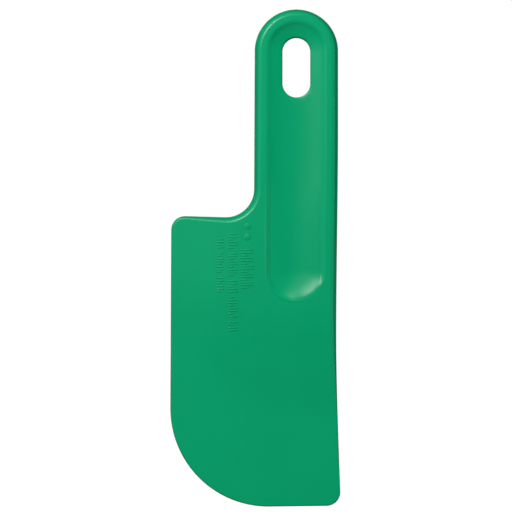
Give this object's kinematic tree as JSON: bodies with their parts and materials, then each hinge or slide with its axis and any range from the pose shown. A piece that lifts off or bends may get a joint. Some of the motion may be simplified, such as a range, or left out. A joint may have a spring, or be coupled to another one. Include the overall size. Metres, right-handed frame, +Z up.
{
  "type": "bench scraper",
  "caption": "One-piece moulded plastic bench scraper: a long handle with a thumb trough on each face and a hang slot, running into a wide thin blade with one large round corner.",
  "frame": {"origin": "the hang point: the top of the hang slot, on the handle's axis and half way through the thickness", "axes": "+Z up the handle, +X toward the long straight spine edge, front face toward -Y"},
  "size_m": [0.0855, 0.011, 0.25],
  "materials": {
    "moulding": "fine spark-eroded satin"
  },
  "bodies": {
    "root": {"handle": "moulding", "blade": "moulding"}
  },
  "joints": []
}
